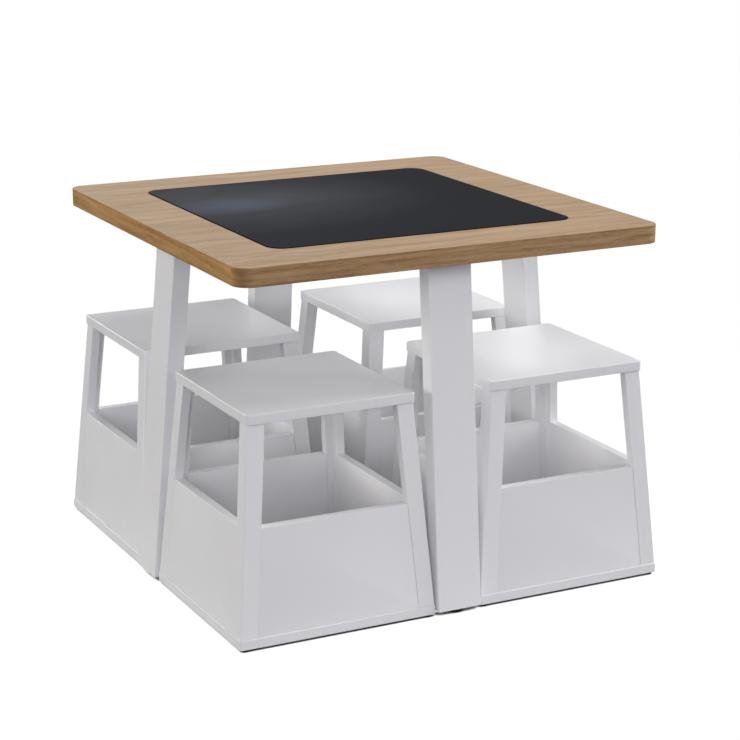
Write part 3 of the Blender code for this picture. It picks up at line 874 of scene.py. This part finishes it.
def make_floor():
    """A plain pale floor that runs out of sight.

    The soft lights pass it by, and what the camera sees of it is burnt out to white, as white paper is in a
    studio, apart from a painted contact shadow close under what stands on it.
    """
    half = FLOOR_SIDE / 2
    mesh = bpy.data.meshes.new("floor")
    mesh.from_pydata([(-half, -half, 0), (half, -half, 0), (half, half, 0), (-half, half, 0)], [],
                     [(0, 1, 2, 3)])
    paint = Finish("floor_paint", Base_Color=(*FLOOR_COLOUR, 1), Roughness=0.9, Specular_IOR_Level=0.0,
                   Emission_Color=(1, 1, 1, 1))
    seen = paint.add("ShaderNodeLightPath", {}).outputs["Is Camera Ray"]
    # painted contact shadow: the camera's white glow fades to black where little sky is open close above
    open_share = paint.add("ShaderNodeAmbientOcclusion", {"Distance": CONTACT_SHADOW_REACH},
                           samples=CONTACT_SHADOW_SAMPLES).outputs["AO"]
    floor_glow_with_painted_shadow = paint.range(open_share, CONTACT_SHADOW_SPAN, (0.0, FLOOR_WHITE))
    mesh.materials.append(paint.shade(Emission_Strength=paint.times(seen, floor_glow_with_painted_shadow)))
    floor = bpy.data.objects.new("floor", mesh)
    bpy.context.scene.collection.objects.link(floor)
    return floor


def make_soft_lights(floor):
    """Soft lights all around, which leave the floor alone."""
    lit = bpy.data.collections.new("lit_by_soft_lights")
    lit.objects.link(floor)
    lit.collection_objects[0].light_linking.link_state = "EXCLUDE"
    for name, azimuth, elevation, width, strength, colour in SOFT_LIGHTS:
        light = bpy.data.lights.new(name, "SUN")
        light.angle = math.radians(width)
        light.energy, light.color = strength, colour
        turn, rise = math.radians(azimuth), math.radians(elevation)
        away = Vector((math.sin(turn) * math.cos(rise), -math.cos(turn) * math.cos(rise), math.sin(rise)))
        lamp = bpy.data.objects.new(name, light)
        lamp.rotation_euler = away.to_track_quat("Z", "Y").to_euler()
        lamp.light_linking.receiver_collection = lit
        bpy.context.scene.collection.objects.link(lamp)


def make_room():
    """A dim room that the camera sees as a white backdrop."""
    world = bpy.data.worlds.new("room")
    world.use_nodes = True
    nodes, links = world.node_tree.nodes, world.node_tree.links
    background = nodes["Background"]
    background.inputs["Color"].default_value = (1, 1, 1, 1)
    seen = nodes.new("ShaderNodeLightPath").outputs["Is Camera Ray"]
    strength = nodes.new("ShaderNodeMapRange")
    strength.inputs["To Min"].default_value = ROOM_GLOW
    links.new(seen, strength.inputs["Value"])
    links.new(strength.outputs["Result"], background.inputs["Strength"])
    bpy.context.scene.world = world


def make_camera():
    """The camera, from its place, yaw, pitch and roll.

    It looks along (-sin yaw cos pitch, cos yaw cos pitch, sin pitch), with its right side level
    before the roll.
    """
    ahead = Vector((-math.sin(CAMERA_YAW) * math.cos(CAMERA_PITCH),
                    math.cos(CAMERA_YAW) * math.cos(CAMERA_PITCH), math.sin(CAMERA_PITCH)))
    right = Vector((math.cos(CAMERA_YAW), math.sin(CAMERA_YAW), 0.0))
    up = right.cross(ahead)
    rolled_right = math.cos(CAMERA_ROLL) * right + math.sin(CAMERA_ROLL) * up
    rolled_up = math.cos(CAMERA_ROLL) * up - math.sin(CAMERA_ROLL) * right
    data = bpy.data.cameras.new("camera")
    data.lens, data.sensor_width = CAMERA_LENS, CAMERA_SENSOR
    camera = bpy.data.objects.new("camera", data)
    camera.matrix_world = Matrix.Translation(CAMERA_PLACE) @ Matrix(
        (rolled_right, rolled_up, -ahead)).transposed().to_4x4()
    bpy.context.scene.collection.objects.link(camera)
    bpy.context.scene.camera = camera


def make_all():
    """Finishes, then the table, the stools and the room."""
    face, band, paint, sealer = oak_face(), oak_band(), writing_surface(), edge_sealer()
    on_board = lacquer_finish("lacquer_on_board", BOARD_STREAKS)
    on_timber = lacquer_finish("lacquer_on_timber", TIMBER_STREAKS)
    plastic, zinc = moulded_plastic(), zinc_plate()
    make_top(face, band, on_board)
    make_writing_board(paint, sealer)
    for turns in range(len(SIDES)):
        make_leg(turns, on_timber)
        make_leg_glide(turns, plastic)
        make_bracket(turns, zinc)
        make_bracket_screws(turns, zinc)
    for corner in CORNERS:
        stool = Stool(corner)
        make_seat(stool, on_board)
        make_base(stool, on_board, plastic)
        for turns in range(len(SIDES)):
            make_post(stool, turns, on_timber)
            make_panel(stool, turns, on_board)
    make_soft_lights(make_floor())
    make_room()
    make_camera()
    bpy.context.scene.view_settings.view_transform = "Standard"


make_all()
